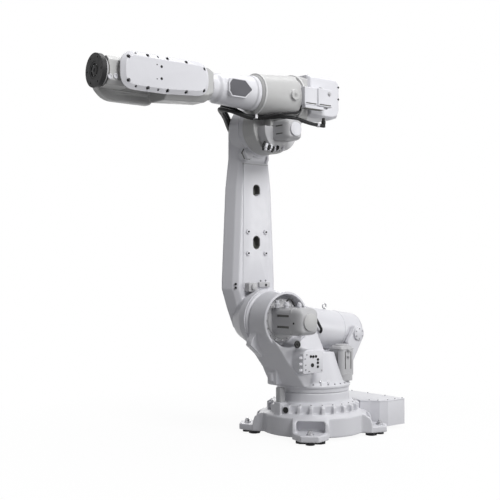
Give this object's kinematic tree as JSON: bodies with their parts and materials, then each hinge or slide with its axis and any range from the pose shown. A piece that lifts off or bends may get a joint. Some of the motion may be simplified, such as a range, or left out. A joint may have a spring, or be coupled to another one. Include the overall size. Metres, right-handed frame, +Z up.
{
  "type": "six-axis industrial robot arm",
  "caption": "Floor-mounted articulated robot arm with a round base, turret with balancing cylinder, tall lower arm, horizontal upper arm and a tool flange.",
  "frame": {"origin": "on the floor on the vertical axis of joint 1, at the levelling pads' undersides", "axes": "+X the way the arm reaches, +Y the robot's left, +Z up"},
  "size_m": [2.3465, 0.7937, 2.432],
  "materials": {
    "white_paint": "semi-gloss pale paint",
    "dark_steel": "black oxide",
    "dark_panel": "satin dark grey",
    "black_plastic": "moulded black",
    "black_rubber": "matt black sheath",
    "plain_steel": "zinc plated"
  },
  "bodies": {
    "base": {"base_casting": "white_paint", "levelling_pads": "dark_steel", "base_oil_plug": "black_plastic", "connector_box": "white_paint", "box_lid": "white_paint", "axis_1_stop_pin": "white_paint"},
    "turret": {"turret_casting": "white_paint", "turret_oil_plug": "black_plastic", "connector_plate": "white_paint", "axis_2_gear_unit": "white_paint", "axis_2_motor": "white_paint", "axis_1_motor": "white_paint", "balancer_cylinder": "white_paint", "balancer_cap": "white_paint", "balancer_lifting_eye": "plain_steel", "trunnion_covers": "white_paint"},
    "lower_arm": {"lower_arm_casting": "white_paint", "clamp_bosses": "white_paint", "far_clamp": "plain_steel"},
    "upper_arm": {"upper_arm_housing": "white_paint", "axis_3_gear_unit": "white_paint", "axis_3_motor": "white_paint", "rear_cover": "white_paint", "axis_4_motor": "white_paint", "housing_clamp": "plain_steel", "upper_arm_cables": "black_rubber", "elbow_cables": "black_rubber"},
    "forearm": {"forearm_tube": "white_paint", "side_panel": "dark_panel", "wrist_housing": "white_paint", "wrist_cover": "white_paint", "wrist_far_cover": "white_paint"},
    "tilt": {"tilt_housing": "white_paint", "tilt_plugs": "white_paint"},
    "tool_plate": {"tool_flange": "dark_steel"}
  },
  "joints": [
    {"name": "axis_1", "type": "hinge", "parent": "base", "child": "turret", "pos_m": [0, 0, 0], "axis": [0, 0, 1], "range_deg": [-170, 170]},
    {"name": "axis_2", "type": "hinge", "parent": "turret", "child": "lower_arm", "pos_m": [0.32, 0, 0.78], "axis": [0, 1, 0], "range_deg": [-65, 85]},
    {"name": "axis_3", "type": "hinge", "parent": "lower_arm", "child": "upper_arm", "pos_m": [0.32, 0, 2.06], "axis": [0, -1, 0], "range_deg": [-70, 180], "deforming": ["elbow_cables"]},
    {"name": "axis_4", "type": "hinge", "parent": "upper_arm", "child": "forearm", "pos_m": [0.541, 0, 2.26], "axis": [1, 0, 0], "range_deg": [-300, 300]},
    {"name": "axis_5", "type": "hinge", "parent": "forearm", "child": "tilt", "pos_m": [1.5025, 0, 2.26], "axis": [0, 1, 0], "range_deg": [-130, 130]},
    {"name": "axis_6", "type": "hinge", "parent": "tilt", "child": "tool_plate", "pos_m": [1.6725, 0, 2.26], "axis": [1, 0, 0], "range_deg": [-360, 360]}
  ]
}
